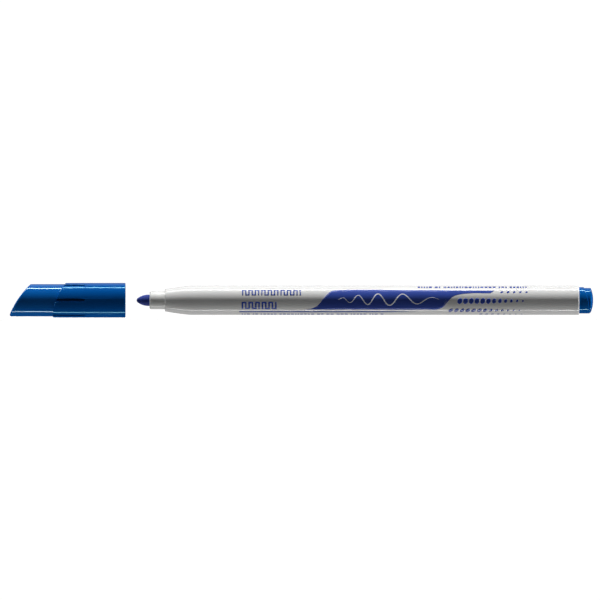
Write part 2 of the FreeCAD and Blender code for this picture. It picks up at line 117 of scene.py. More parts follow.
def skin(name, patches, sharp_deg=35, closed=True):
    """One welded mesh from patches of points in millimetres. Edges that turn by more than sharp_deg stay
    sharp. A closed skin has its faces turned outwards."""
    first, points, faces = 0, [], []
    for patch in patches:
        rows, cols = patch.shape[:2]
        points.append(patch.reshape(-1, 3))
        faces.append(quads(rows, cols, first))
        first += rows * cols
    mesh = bpy.data.meshes.new(name)
    mesh.from_pydata((np.concatenate(points) * MM).tolist(), [], np.concatenate(faces).tolist())
    shape = bmesh.new()
    shape.from_mesh(mesh)
    bmesh.ops.remove_doubles(shape, verts=shape.verts, dist=WELD)
    if closed:
        bmesh.ops.recalc_face_normals(shape, faces=shape.faces)
    shape.to_mesh(mesh)
    open_edges = sum(1 for e in shape.edges if len(e.link_faces) != 2)
    shape.free()
    mesh.shade_smooth()
    mesh.set_sharp_from_angle(angle=math.radians(sharp_deg))
    piece = bpy.data.objects.new(name, mesh)
    bpy.context.scene.collection.objects.link(piece)
    print(f"{name}: {len(mesh.polygons)} faces, {open_edges} open edges")
    return piece


# %% [markdown]
# ## Rounded corners
#
# No moulded edge is truly sharp, and the thin bright line along a softened edge is what makes plastic
# look real. So a profile is drawn as corners with a radius each, and every corner is replaced by an arc.
# Two extra points close to each arc keep the flat parts beside it flat when they are shaded.

# %% A profile with softened corners
def softened(corners, steps=6, guard=0.04):
    """A line of (x, r) points from corners (x, r, radius). At a corner, the arc starts and ends where a
    circle of that radius touches both sides: the radius over the tangent of half their angle, from the
    corner."""
    corners = np.array(corners, float)
    line = [corners[:1, :2]]
    for before, here, after in zip(corners[:-2], corners[1:-1], corners[2:]):
        corner, radius = here[:2], here[2]
        a, b = before[:2] - corner, after[:2] - corner
        room = 0.45 * min(np.linalg.norm(a), np.linalg.norm(b))
        a, b = a / np.linalg.norm(a), b / np.linalg.norm(b)
        half = math.acos(np.clip(a @ b, -1, 1)) / 2
        if radius <= 0 or half > 1.55:
            line.append(corner[None])
            continue
        reach = min(radius / math.tan(half), room)
        radius = reach * math.tan(half)
        middle = corner + (a + b) / np.linalg.norm(a + b) * radius / math.sin(half)
        start, end = corner + a * reach - middle, corner + b * reach - middle
        turn = math.pi - 2 * half
        t = np.linspace(0, 1, steps)[:, None]
        arc = middle + (np.sin((1 - t) * turn) * start + np.sin(t * turn) * end) / math.sin(turn)
        off = min(guard, room - reach + 1e-6)
        line += [corner[None] + a * (reach + off), arc, corner[None] + b * (reach + off)]
    line.append(corners[-1:, :2])
    return np.concatenate(line)


AROUND = np.linspace(0, 2 * np.pi, 193)


def turned(profile, angles=AROUND):
    """A patch from a profile carried round the axis: row i is the circle at the profile's i-th point."""
    return round_about(profile[:, :1], profile[:, 1:2], angles[None, :])


# %% [markdown]
# ## Moulded plastic
#
# The blue and white pieces are injection-moulded polypropylene. Up close its surface is not perfect: the
# tool leaves a faint grain, and the gloss changes a little from place to place, mostly lengthwise. One
# function makes the node tree, and each piece gets its own colour, gloss and amount of grain. Patterns
# are read in object coordinates, so they stay on the piece.

# %% A material for moulded plastic
def node(tree, kind, x, y, **values):
    """One shader node at a place in the editor, with some of its inputs set."""
    made = tree.nodes.new(kind)
    made.location = (x, y)
    for key, value in values.items():
        if key in made.inputs:
            made.inputs[key].default_value = value
        else:
            setattr(made, key, value)
    return made


def stretched(tree, scale, x, y):
    """Object coordinates, scaled differently along and across the marker."""
    place = node(tree, "ShaderNodeTexCoord", x - 200, y)
    mapping = node(tree, "ShaderNodeMapping", x, y)
    mapping.inputs["Scale"].default_value = scale
    tree.links.new(place.outputs["Object"], mapping.inputs["Vector"])
    return mapping.outputs["Vector"]


def bare_material(name):
    """A material with only an output node, its node tree and that output."""
    made = bpy.data.materials.new(name)
    made.use_nodes = True
    tree = made.node_tree
    tree.nodes.clear()
    return made, tree, node(tree, "ShaderNodeOutputMaterial", 900, 0)


def raised(tree, surface, pattern, strength, distance):
    """The surface's normal, tilted as if the pattern were heights of up to distance, in metres."""
    bump = node(tree, "ShaderNodeBump", 300, -300, Strength=strength, Distance=distance)
    tree.links.new(pattern, bump.inputs["Height"])
    tree.links.new(bump.outputs["Normal"], surface.inputs["Normal"])


def plastic(name, colour, gloss, grain, shade=0.06, see_in=0.0, level=0.5, tint=(1, 1, 1)):
    """Moulded plastic: a colour that drifts by shade, roughness between two values, and fine grain.
    level and tint are how strong and how coloured its mirror-like part is, and see_in is how milky it is."""
    made, tree, out = bare_material(name)
    surface = node(tree, "ShaderNodeBsdfPrincipled", 600, 0)
    surface.inputs["Specular IOR Level"].default_value = level
    surface.inputs["Specular Tint"].default_value = (*tint, 1)
    if see_in:
        surface.inputs["Subsurface Weight"].default_value = see_in
        surface.inputs["Subsurface Radius"].default_value = (0.0012, 0.001, 0.0009)
        surface.inputs["Subsurface Scale"].default_value = 1.0
    tree.links.new(surface.outputs["BSDF"], out.inputs["Surface"])

    drift = node(tree, "ShaderNodeTexNoise", -300, 300, Scale=1.0, Detail=3.0, Roughness=0.55)
    tree.links.new(stretched(tree, (60, 220, 220), -500, 300), drift.inputs["Vector"])
    ramp = node(tree, "ShaderNodeValToRGB", 0, 300)
    low, high = ramp.color_ramp.elements
    low.position, high.position = 0.3, 0.7
    low.color = (*[c * (1 - shade) for c in colour], 1)
    high.color = (*[min(1, c * (1 + shade)) for c in colour], 1)
    tree.links.new(drift.outputs["Fac"], ramp.inputs["Fac"])
    tree.links.new(ramp.outputs["Color"], surface.inputs["Base Color"])

    marks = node(tree, "ShaderNodeTexNoise", -300, 0, Scale=1.0, Detail=2.0, Roughness=0.5)
    tree.links.new(stretched(tree, (25, 900, 900), -500, 0), marks.inputs["Vector"])
    wear = node(tree, "ShaderNodeMapRange", 0, 0)
    wear.inputs["From Min"].default_value = 0.35
    wear.inputs["From Max"].default_value = 0.75
    wear.inputs["To Min"].default_value = gloss[0]
    wear.inputs["To Max"].default_value = gloss[1]
    tree.links.new(marks.outputs["Fac"], wear.inputs["Value"])
    tree.links.new(wear.outputs["Result"], surface.inputs["Roughness"])

    pores = node(tree, "ShaderNodeTexNoise", -300, -300, Scale=1.0, Detail=2.0)
    tree.links.new(stretched(tree, (9000, 9000, 9000), -500, -300), pores.inputs["Vector"])
    raised(tree, surface, pores.outputs["Fac"], grain, 0.00002)
    print(f"material {name}: roughness {gloss[0]} to {gloss[1]}")
    return made


# %% [markdown]
# The barrel and the nib holder are polished white. The cap's sleeve is satin, so it has more grain than
# the glossy tip piece and the end plug, though all three are the same blue.

# %% The plastics of this marker
barrel_white = plastic(
    "barrel_white_gloss", (0.84, 0.84, 0.83), gloss=(0.15, 0.17), grain=0.006, shade=0.012, see_in=0.05)
holder_white = plastic(
    "holder_white", (0.85, 0.85, 0.83), gloss=(0.15, 0.18), grain=0.01, shade=0.015, see_in=0.03)
sleeve_blue = plastic(
    "cap_blue_satin", (0.001, 0.094, 0.39), gloss=(0.1, 0.12), grain=0.02, level=0.42, tint=(0.2, 0.9, 1))
tip_blue = plastic(
    "cap_blue_gloss", (0.002, 0.118, 0.46), gloss=(0.075, 0.08), grain=0.005, level=0.75, tint=(0.7, 1, 1))
plug_blue = plastic(
    "plug_blue_gloss", (0.002, 0.11, 0.42), gloss=(0.07, 0.08), grain=0.01, tint=(0.45, 0.9, 1))

# %% [markdown]
# ## Barrel
#
# The barrel is one white tube. Its tapered front is gently bowed, its front rim is a flat ring round the
# neck, and its rear edge is softened. Inside are a short land that grips the nib holder, a wide chamber
# for the ink reservoir and a ring groove that the end plug snaps into. Pieces that fit into each other
# leave 0.02 mm between them.

# %% Carry the barrel's profile round the axis
def bowed(start, end, radius, count):
    """Points on an arc of that radius from start to end, bulging to the left of the way it runs: the middle
    of the chord, moved back to the circle's centre, and then radius times the unit vector at each angle."""
    start, end = np.array(start, float), np.array(end, float)
    chord = end - start
    length = np.linalg.norm(chord)
    left = np.array([-chord[1], chord[0]]) / length
    centre = (start + end) / 2 - left * math.sqrt(radius**2 - length**2 / 4)
    a = math.atan2(*(start - centre)[::-1])
    b = math.atan2(*(end - centre)[::-1])
    angle = np.linspace(a, b, count)[:, None]
    return centre + radius * np.concatenate([np.cos(angle), np.sin(angle)], axis=1)


fit = 0.02
neck_r = 2.65
land_r = neck_r + fit
rim_r = neck_r + 0.65
chamber_r = barrel_r - 0.8
groove_r = chamber_r + 0.15
groove_rear, groove_front = barrel_rear - 4.55, barrel_rear - 5.65
land_end, chamber_start = barrel_front + 3, barrel_front + 10
shoulder_end, shoulder_bow = barrel_front + 7.5, 88
edge_round = 0.25

shoulder = bowed((barrel_front, rim_r), (shoulder_end, barrel_r), shoulder_bow, 30)
front = softened([(barrel_front, land_r, 0), (barrel_front, rim_r, edge_round), (*shoulder[4], 0)])
rear = softened([(shoulder_end + 60, barrel_r, 0), (barrel_rear, barrel_r, edge_round),
                 (barrel_rear, chamber_r, 0.1), (groove_rear, chamber_r, 0)])
inside = [(groove_rear, groove_r), (groove_front, groove_r), (groove_front, chamber_r),
          (chamber_start, chamber_r), (chamber_start, collar_r + fit), (land_end, collar_r + fit),
          (land_end, land_r), (barrel_front, land_r)]
barrel_line = np.concatenate([front[:-1], shoulder[4:], [(shoulder_end + 0.3, barrel_r)], rear, inside])
barrel = skin("barrel_shell", [turned(barrel_line)])
barrel.data.materials.append(barrel_white)
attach(barrel, "pen")
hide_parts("barrel")

# %% [markdown]
# ## Nib holder
#
# The white neck is the front of a turned insert that holds the nib. Four air grooves run along its bore,
# so that air can get in as ink goes out; their ends show as small notches round the nib. The bore's
# radius is therefore not one number but a function of the angle.

# %% Bore with grooves, then the insert
def ridges(angle, count, half_width, soft):
    """1 on count evenly spaced ridges and 0 between them: the angle to the nearest ridge, less its half
    width, is turned into a smooth step that is soft wide."""
    pitch = 2 * np.pi / count
    away = np.abs((angle + pitch / 2) % pitch - pitch / 2)
    t = np.clip((half_width + soft / 2 - away) / soft, 0, 1)
    return t * t * (3 - 2 * t)


def grooved(profile, is_bore, angles, count, half_width, depth):
    """A turned patch whose bore rows get deeper by depth on count grooves."""
    r = profile[:, 1:2] + depth * is_bore[:, None] * ridges(angles, count, half_width, 0.02)[None, :]
    return round_about(profile[:, :1], r, angles[None, :])


holder_bore = nib_r + fit
tail_r = neck_r - 0.15
flange_front = land_end + fit
flange_rear = flange_front + 1.2
holder_line = softened([
    (holder_end, holder_bore, 0), (neck_front, holder_bore, 0.05), (neck_front, neck_r - 0.3, 0.08),
    (neck_front + 0.35, neck_r, 0.15), (flange_front, neck_r, 0), (flange_front, collar_r, 0.1),
    (flange_rear, collar_r, 0.1), (flange_rear, tail_r, 0), (holder_end, tail_r, 0.15),
    (holder_end, holder_bore, 0)])
bore_rows = (holder_line[:, 1] < holder_bore + 0.02).astype(float)
holder_angles = np.linspace(0, 2 * np.pi, 257)
vent_count, vent_half, vent_depth = 4, 0.2, 0.3
holder = skin("nib_holder_insert", [
    grooved(holder_line, bore_rows, holder_angles, vent_count, vent_half / nib_r, vent_depth)])
holder.data.materials.append(holder_white)
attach(holder, "pen")
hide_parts("nib_holder")

# %% [markdown]
# ## Nib
#
# The nib is a rod of pressed and bonded fibres, ground to a bullet: a small round point that flows into a
# longer flank. The two arcs touch on the line through their centres, so no edge shows between them. Felt
# is never quite even, so the points of its surface are moved in by a few microns each.

# %% Ground bullet of felt
nose, point_length, tail_cone, tail_end_r = 0.8, 3.5, 4, 0.8
reach = point_length - nose
flank = (reach**2 + nib_r**2 - nose**2) / (2 * (nib_r - nose))
share = flank / (flank - nose)
touch = (nib_point + point_length - share * reach, share * (flank - nib_r) - (flank - nib_r))
tip_arc = bowed((nib_point, 0.0), touch, nose, 14)
flank_arc = bowed(touch, (nib_point + point_length, nib_r), flank, 40)
rod_end = nib_end - tail_cone
rod = np.stack([np.linspace(nib_point + point_length + 0.1, rod_end, 60), np.full(60, nib_r)], axis=1)
nib_line = np.concatenate([tip_arc, flank_arc[1:], rod, [(nib_end, tail_end_r), (nib_end, 0.0)]])
print(f"the arcs meet {touch[0] - nib_point:.2f} mm behind the point, {touch[1]:.2f} mm from the axis")


def felt(profile, angles, depth, seed):
    """A turned patch with fibres: the radius is lowered by depth times a number between 0 and 2, which is
    0.6 plus 2.4 times the mean of 24 waves. Their counts round, rates along and starts are seeded draws."""
    draw = np.random.default_rng(seed)
    count = draw.integers(9, 60, 24)[:, None, None]
    along = draw.uniform(0.3, 3.5, 24)[:, None, None]
    start = draw.uniform(0, 2 * np.pi, 24)[:, None, None]
    waves = np.sin(count * angles[None, None, :] + along * profile[None, :, :1] + start).mean(0)
    r = np.maximum(profile[:, 1:2] - depth * (0.6 + waves * 2.4).clip(0, 2), 0)
    r[profile[:, 1] <= 1e-9] = 0
    return round_about(profile[:, :1], r, angles[None, :])


nib = skin("nib_felt", [felt(nib_line, AROUND, depth=0.006, seed=3)], sharp_deg=60)

# %% [markdown]
# Ink-soaked felt is navy in the shade and a clear blue where light reaches it. Fibres run lengthwise, so
# the noise is stretched along the marker, and a little sheen gives the soft bright edge of the fuzz.

# %% A material for ink-soaked fibre
def fibre(name, dark, light, roughness, bump_by, along=700, across=7000, sheen=0.25):
    """Bonded fibre: streaks between a dark and a light colour, raised by the same streaks."""
    made, tree, out = bare_material(name)
    surface = node(tree, "ShaderNodeBsdfPrincipled", 600, 0)
    surface.inputs["Sheen Weight"].default_value = sheen
    surface.inputs["Sheen Roughness"].default_value = 0.4
    surface.inputs["Sheen Tint"].default_value = (0.55, 0.6, 1.0, 1)
    tree.links.new(surface.outputs["BSDF"], out.inputs["Surface"])
    streaks = node(tree, "ShaderNodeTexNoise", -300, 200, Scale=1.0, Detail=5.0, Roughness=0.65)
    tree.links.new(stretched(tree, (along, across, across), -500, 200), streaks.inputs["Vector"])
    ramp = node(tree, "ShaderNodeValToRGB", 0, 200)
    low, high = ramp.color_ramp.elements
    low.position, high.position = 0.32, 0.72
    low.color, high.color = (*dark, 1), (*light, 1)
    tree.links.new(streaks.outputs["Fac"], ramp.inputs["Fac"])
    tree.links.new(ramp.outputs["Color"], surface.inputs["Base Color"])
    damp = node(tree, "ShaderNodeMapRange", 0, -50)
    damp.inputs["To Min"].default_value = roughness[0]
    damp.inputs["To Max"].default_value = roughness[1]
    tree.links.new(streaks.outputs["Fac"], damp.inputs["Value"])
    tree.links.new(damp.outputs["Result"], surface.inputs["Roughness"])
    raised(tree, surface, streaks.outputs["Fac"], bump_by, 0.00006)
    print(f"material {name}: roughness {roughness[0]} to {roughness[1]}")
    return made


nib_ink = fibre("nib_inked_felt", dark=(0.006, 0.022, 0.2), light=(0.02, 0.06, 0.42),
                roughness=(0.6, 0.85), bump_by=0.7, sheen=0.1)
nib.data.materials.append(nib_ink)
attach(nib, "pen")
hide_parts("nib")

# %% [markdown]
# ## Oblique lines
#
# The cap's two mouldings meet along an oblique bowed line, the cap's end is an oblique bowed face, and
# the end plug's collar is cut the same way. Each is the arc of a circle seen from the side, carried
# straight across the marker. So the place along X depends only on the height z.

# %% Place along X of an oblique arc at a height
def oblique(bottom_x, top_x, r, radius):
    """A function from height to x: an arc of that radius through the bottom and the top, bowed to the left of
    the way up: the centre's x less the root of radius squared minus the height from the centre squared."""
    rise, height = top_x - bottom_x, 2 * r
    chord = math.hypot(rise, height)
    off = math.sqrt(radius**2 - chord**2 / 4)
    centre_x = (bottom_x + top_x) / 2 + off * height / chord
    centre_z = -off * rise / chord
    return lambda z: centre_x - np.sqrt(radius**2 - (np.asarray(z) - centre_z) ** 2), (centre_x, centre_z)


sleeve_bottom, sleeve_top, sleeve_bow = cap_mouth - 21.75, cap_mouth - 17.9, 16.5
sleeve_front, _ = oblique(sleeve_bottom, sleeve_top, sleeve_r, sleeve_bow)
print(f"the sleeve ends {cap_mouth - float(sleeve_front(0)):.1f} mm from the mouth at mid-height")

# %% [markdown]
# ## Cap sleeve
#
# The sleeve is a satin tube pushed over the tip piece's glossy one. Six slots run back from its oblique
# front edge and leave six broad fingers, and the glossy tube shows as the floor of each slot. So the
# sleeve is built as one full ring behind the slots and six fingers in front of them. Inside the mouth,
# six low ribs grip the barrel. A slot has flat walls, so it takes a wider angle inside than outside, and
# the lines of points pass from the one to the other round the mouth's lip.

# %% Sleeve from a ring and six fingers
sleeve_bore = barrel_r + 0.2
seat_r = tip_r + fit
slot_end = cap_mouth - 12.15
seat_end = slot_end + 0.45
slot_count, slot_half = 6, 0.425
grip = (cap_mouth - 11.5, cap_mouth - 2.0)
rib_count, rib_half, rib_height, rib_run = 6, 0.3, 0.12, 0.4


def sectors(count, half_gap, gap_steps, land_steps):
    """Angles of count gaps and of the lands between them, each as an array that includes both its ends."""
    pitch = 2 * np.pi / count
    gaps = [np.linspace(k * pitch - half_gap, k * pitch + half_gap, gap_steps) for k in range(count)]
    lands = [np.linspace(k * pitch + half_gap, (k + 1) * pitch - half_gap, land_steps) for k in range(count)]
    return gaps, lands


def whole_ring(gaps, lands):
    """One array of angles all the way round: each gap, then its land, and at last the first angle again,
    one turn on."""
    parts = [np.concatenate([gap[:-1], land[:-1]]) for gap, land in zip(gaps, lands)]
    return np.concatenate(parts + [gaps[0][:1] + 2 * np.pi])


def arch(radius, half_width):
    """The angle at which a slot's wall meets a tube: the arc sine of half the slot's width over the tube's
    radius."""
    return math.asin(half_width / radius)


def inner_radius(x, angle):
    """The sleeve's bore less the grip ribs, which rise smoothly at their ends."""
    ends = np.clip((x - grip[0]) / rib_run, 0, 1) * np.clip((grip[1] - x) / rib_run, 0, 1)
    ribs = ridges(angle + np.pi / 6, rib_count, rib_half / sleeve_bore, 0.05)
    return sleeve_bore - rib_height * ends * ribs


gap_out, land_out = sectors(slot_count, arch(sleeve_r, slot_half), 4, 31)
gap_in, land_in = sectors(slot_count, arch(seat_r, slot_half), 4, 31)
ring_out, ring_in = whole_ring(gap_out, land_out), whole_ring(gap_in, land_in)
lead_in = 0.12
mouth_line = softened([(slot_end, sleeve_r, 0), (cap_mouth, sleeve_r, 0.15),
                       (cap_mouth, sleeve_bore + lead_in, 0.08), (cap_mouth - lead_in, sleeve_bore, 0)])
bore_x = np.concatenate([[cap_mouth - lead_in], np.linspace(grip[1] + 0.1, grip[1] - rib_run, 6),
                         np.linspace(grip[0] + rib_run, grip[0] - 0.05, 6), [seat_end]])
share_in = (np.linspace(0, 1, len(mouth_line)) ** 3)[:, None]
mouth_angles = ring_out[None] * (1 - share_in) + ring_in[None] * share_in
outer_ring = round_about(mouth_line[:, :1], mouth_line[:, 1:2], mouth_angles)
inner_ring = round_about(bore_x[:, None], inner_radius(bore_x[:, None], ring_in[None]), ring_in[None])
seat_ring = round_about(np.array([seat_end, slot_end])[:, None], seat_r, ring_in[None])
sleeve_patches = [outer_ring, np.concatenate([inner_ring, seat_ring])]
t = np.linspace(0, 1, 8)[:, None]
for k in range(slot_count):
    a_out, a_in = land_out[k], land_in[k]
    front_out = sleeve_front(sleeve_r * np.sin(a_out))[None]
    front_in = sleeve_front(seat_r * np.sin(a_in))[None]
    out_face = round_about(front_out + t * (slot_end - front_out), sleeve_r, a_out[None])
    in_face = round_about(front_in + t * (slot_end - front_in), seat_r, a_in[None])
    sleeve_patches += [out_face, in_face, np.stack([out_face[0], in_face[0]]),
                       np.stack([out_face[:, 0], in_face[:, 0]]), np.stack([out_face[:, -1], in_face[:, -1]])]
    gap_o = round_about(slot_end, sleeve_r, gap_out[k][None])
    gap_i = round_about(slot_end, seat_r, gap_in[k][None])
    sleeve_patches.append(np.concatenate([gap_o, gap_i]))
sleeve = skin("cap_sleeve_shell", sleeve_patches)

# %% [markdown]
# The edges that the tool's inserts cut are softened by a Bevel modifier: a very narrow one, so that a
# slot keeps its width and only gains the thin highlight of a real edge.

# %% Soften the cut edges and give the sleeve its finish
def edge_softener(piece, width, angle=40):
    """A Bevel modifier of that width in millimetres, on edges that turn by more than the angle."""
    made = piece.modifiers.new("edge_softener", "BEVEL")
    made.width = width * MM
    made.segments = 2
    made.limit_method = "ANGLE"
    made.angle_limit = math.radians(angle)
    made.use_clamp_overlap = False
    made.harden_normals = True
    print(f"{piece.name}: edges softened by {width} mm")


edge_softener(sleeve, 0.15)
sleeve.data.materials.append(sleeve_blue)
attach(sleeve, "cap")
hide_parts("cap_sleeve")

# %% [markdown]
# ## Cap tip
#
# The glossy tip piece is closed by an oblique bowed face, and a soft round runs along the edge between
# that face and the side. It is the path of a ball that rolls inside the edge: at each angle the ball's
# centre is one ball radius inside the side and inside the face, and the surface between the two places
# where the ball touches is an arc on the ball.

# %% Roll a ball along the edge
ball, face_rise, face_bow = 0.5, 6.5, 28
sharp_front = tip_front - 0.249  # where the face and the side would meet with no round
face_of, (face_cx, face_cz) = oblique(sharp_front, sharp_front + face_rise, tip_r, face_bow)
ball_y, ball_z = -(tip_r - ball) * np.cos(AROUND), (tip_r - ball) * np.sin(AROUND)
ball_x = face_cx - np.sqrt((face_bow - ball) ** 2 - (ball_z - face_cz) ** 2)
ball_at = np.stack([ball_x, ball_y, ball_z], axis=-1)
to_side = np.stack([np.zeros_like(AROUND), -np.cos(AROUND), np.sin(AROUND)], axis=-1)
to_face = np.stack([ball_x - face_cx, np.zeros_like(AROUND), ball_z - face_cz], axis=-1)
to_face /= np.linalg.norm(to_face, axis=1, keepdims=True)
between = np.arccos(np.clip((to_side * to_face).sum(1), -1, 1))[None, :, None]
t = np.linspace(0, 1, 9)[:, None, None]
outwards = (np.sin((1 - t) * between) * to_face + np.sin(t * between) * to_side) / np.sin(between)
rolled = ball_at + ball * outwards
print(f"the foremost point is {tip_front - rolled[..., 0].min():.3f} mm from the packed one")

# %% [markdown]
# The face inside that round is a fan: rings that shrink towards its middle, each lying on the bowed
# cylinder. Behind the round, the side runs straight back under the sleeve. Inside are a flared bore for
# the barrel's shoulder and the pit that holds the soft seal.

# %% Face, side and bore in one skin
rim = rolled[0]
middle_z = (rim[:, 2].min() + rim[:, 2].max()) / 2
shrink = np.concatenate([np.linspace(0, 0.9, 12), [0.96, 0.985]])[:, None]
face_y = shrink * rim[None, :, 1]
face_z = middle_z + shrink * (rim[None, :, 2] - middle_z)
face = np.stack([face_of(face_z), face_y, face_z], axis=-1)
seal_front, seal_rim, _ = span("cap_seal")
seal_step, seal_pit = cap_mouth - 24.94, seal_front - fit
cone_start, cone_r, seal_r, pit_r = cap_mouth - 14.4, 4.2, 3.77, 2.92
side_end = tip_back - 0.5
bore_line = softened([
    (side_end, tip_r, 0), (tip_back, tip_r, 0.08), (tip_back, sleeve_bore, 0.08), (cone_start, cone_r, 0.3),
    (seal_rim, seal_r, 0), (seal_step, seal_r, 0.05), (seal_step, pit_r, 0), (seal_pit, pit_r, 0.1),
    (seal_pit, 0, 0)])
side_start = rolled[-1, :, 0][None]
side_t = np.array([0.01, 0.05, 0.3, 0.6, 0.9])[:, None]
side = round_about(side_start + side_t * (side_end - side_start), tip_r, AROUND[None])
tip = skin("cap_tip_shell", [np.concatenate([face, rolled, side, turned(bore_line)])])
tip.data.materials.append(tip_blue)
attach(tip, "cap")
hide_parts("cap_tip")

# %% [markdown]
# ## End plug
#
# The plug closes the barrel. What shows is a collar cut obliquely and a smaller button with a domed end,
# which has the small round mark where the plastic entered the mould. Inside the barrel it has a spigot
# with a snap bead, and four prongs that keep the reservoir forward.

# %% Plug from a turned body and four prongs
plug_r = plug_collar_r - 0.25
plug_spigot = chamber_r - fit
plug_bore, core_end = plug_spigot - 0.9, barrel_rear + 1.6
cut_bottom, cut_top, cut_bow = 3.2, 1.4, 30
collar_end, _ = oblique(-cut_bottom, -cut_top, plug_collar_r, cut_bow)
ring_front = barrel_rear - 7.0
bead, bead_half, bead_height = barrel_rear - 5.1, 0.35, 0.13
prong_count, prong_gap_half = 4, 1.5
gap_a, land_a = sectors(prong_count, prong_gap_half / plug_spigot, 9, 41)
plug_ring = whole_ring(gap_a, land_a)
hollow = softened([(core_end, 0, 0), (core_end, plug_bore, 0.2), (ring_front, plug_bore, 0)])
bead_foot, bead_r = bead_half + bead_height, plug_spigot + bead_height
spigot = np.array([(ring_front, plug_spigot), (bead - bead_foot, plug_spigot), (bead - bead_half, bead_r),
                   (bead + bead_half, bead_r), (bead + bead_foot, plug_spigot), (barrel_rear, plug_spigot)])
cut_x = barrel_rear - collar_end(plug_collar_r * np.sin(plug_ring))
step_x = barrel_rear - collar_end(plug_r * np.sin(plug_ring))
soft, flat = 0.08, 0.05
collar_profile = [
    (barrel_rear, plug_collar_r - soft), (barrel_rear + soft, plug_collar_r),
    (barrel_rear + soft + flat, plug_collar_r), (cut_x - soft - flat, plug_collar_r),
    (cut_x - soft, plug_collar_r), (cut_x - 0.02, plug_collar_r - 0.03), (cut_x, plug_collar_r - soft),
    (step_x, plug_r + 0.03), (step_x + 0.04, plug_r), (step_x + 0.08, plug_r)]
collar_rows = [round_about(x, r, plug_ring) for x, r in collar_profile]

# %% [markdown]
# The dome is an arc that meets the axis at a right angle, and a shallow ring in it marks the gate.

# %% Dome, prongs and weld
dome_height, gate_r = 0.75, 0.55
dome_start = plug_end - dome_height
dome_radius = (plug_r**2 + dome_height**2) / (2 * dome_height)
dome = bowed((dome_start, plug_r), (plug_end, 0.0), dome_radius, 40)
button_edge = [(dome_start - 0.28, plug_r, 0), (dome_start, plug_r, edge_round), (*dome[6], 0)]
soft_dome = softened(button_edge, steps=8)
dome_line = np.concatenate([soft_dome[:-1], dome[6:]])
gate = 0.06 * np.clip((gate_r + 0.08 - dome_line[:, 1]) / 0.08, 0, 1) * (dome_line[:, 0] > dome_start)
dome_line[:, 0] -= gate
plug_patches = [turned(hollow, plug_ring), turned(spigot, plug_ring),
                np.stack([turned(spigot, plug_ring)[-1], *collar_rows]),
                np.concatenate([collar_rows[-1][None], turned(dome_line, plug_ring)])]
along = np.array([ring_front, prong_end])[:, None]
for a, gap in zip(land_a, gap_a):
    outer = round_about(along, plug_spigot, a[None])
    inner = round_about(along, plug_bore, a[None])
    plug_patches += [outer, inner, np.stack([outer[1], inner[1]]), np.stack([outer[:, 0], inner[:, 0]]),
                     np.stack([outer[:, -1], inner[:, -1]]),
                     round_about(ring_front, np.array([plug_spigot, plug_bore])[:, None], gap[None])]
plug = skin("end_plug_shell", plug_patches)
plug.data.materials.append(plug_blue)
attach(plug, "pen")
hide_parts("end_plug")

# %% [markdown]
# ## Pieces inside
#
# The soft seal shows only when one looks into the cap, and the reservoir is closed in. Their packed
# shapes are right as they are, so they stay and only get a finish: milky soft plastic for the seal, fibre
# for the reservoir, and a pale glossy film round it.

# %% Finish the inner pieces
seal_soft = plastic("seal_milky", (0.7, 0.71, 0.68), gloss=(0.4, 0.55), grain=0.15, shade=0.03, see_in=0.3)
reservoir_ink = fibre("reservoir_inked_fibre", dark=(0.01, 0.02, 0.12), light=(0.05, 0.1, 0.4),
                      roughness=(0.75, 0.95), bump_by=0.5, along=60, across=3000)
film_pale = plastic("reservoir_film_clear", (0.55, 0.62, 0.72), gloss=(0.12, 0.2), grain=0.05, shade=0.04)
inner_finishes = {"cap_seal": seal_soft, "reservoir_core": reservoir_ink, "reservoir_film": film_pale}
for name, finish in inner_finishes.items():
    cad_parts[name].data.materials[0] = finish
    print(f"{name}: {finish.name}")

# %% [markdown]
# ## Printing
#
# The barrel carries one-colour printing. It is laid out flat first: u runs along the barrel from its
# front rim, and s is the distance round it, upwards from the line that faces -Y. Wrapping keeps u and
# turns s into an angle, so the design bends round the tube without stretching. Each mark is a patch.
# There are no words in it: rows of small bars and a key pattern stand where a maker would put text.

# %% Wrap flat marks on the barrel
INK_LIFT = 0.012


def wrapped(u, s, lift=INK_LIFT):
    """Points on the barrel: u becomes x, and s over the barrel's radius becomes the angle."""
    return round_about(barrel_front + u, barrel_r + lift, s / barrel_r)


def bar(u0, u1, s0, s1):
    """An upright patch between two lines along the barrel."""
    u = np.linspace(0, 1, 3)[None, :]
    s = np.linspace(0, 1, 5)[:, None]
    return wrapped(u0 + (u1 - u0) * u + 0 * s, s0 + (s1 - s0) * s + 0 * u)


def dot(u, s, half_u, half_s, slant):
    """A round patch: u and s are the middle plus the half sizes times a cosine and a sine, and slant
    leans it."""
    ring = np.linspace(2 * np.pi, 0, 25)[None, :]
    out = np.linspace(0, 1, 4)[:, None]
    ds = half_s * out * np.sin(ring)
    return wrapped(u + half_u * out * np.cos(ring) + slant * ds, s + ds)


def band(u, low, high, steps=9, lift=INK_LIFT):
    """A patch between two curves along the barrel, given as heights at each u."""
    t = np.linspace(0, 1, steps)[:, None]
    return wrapped(u[None, :] + 0 * t, low[None, :] + t * (high - low)[None, :], lift)


print(f"printing is {INK_LIFT * 1000:.0f} microns above the barrel")

# %% [markdown]
# Two rows of key pattern come first, then a rule that thins out along the lower side with a row of small
# bars below it, and one more row of bars near the top.

# %% Key pattern, rule and bars
def key_row(start, end, low, high, pitch, stroke):
    """Upright strokes at an even pitch, joined in turn at the top and at the bottom, in groups of six."""
    marks = []
    count = int((end - start) / pitch)
    for i in range(count):
        u = start + i * pitch
        marks.append(bar(u, u + stroke, low, high))
        if i % 6 == 5 or i == count - 1:
            continue
        at = high - stroke if i % 2 == 0 else low
        marks.append(bar(u + stroke, u + pitch, at, at + stroke))
    return marks


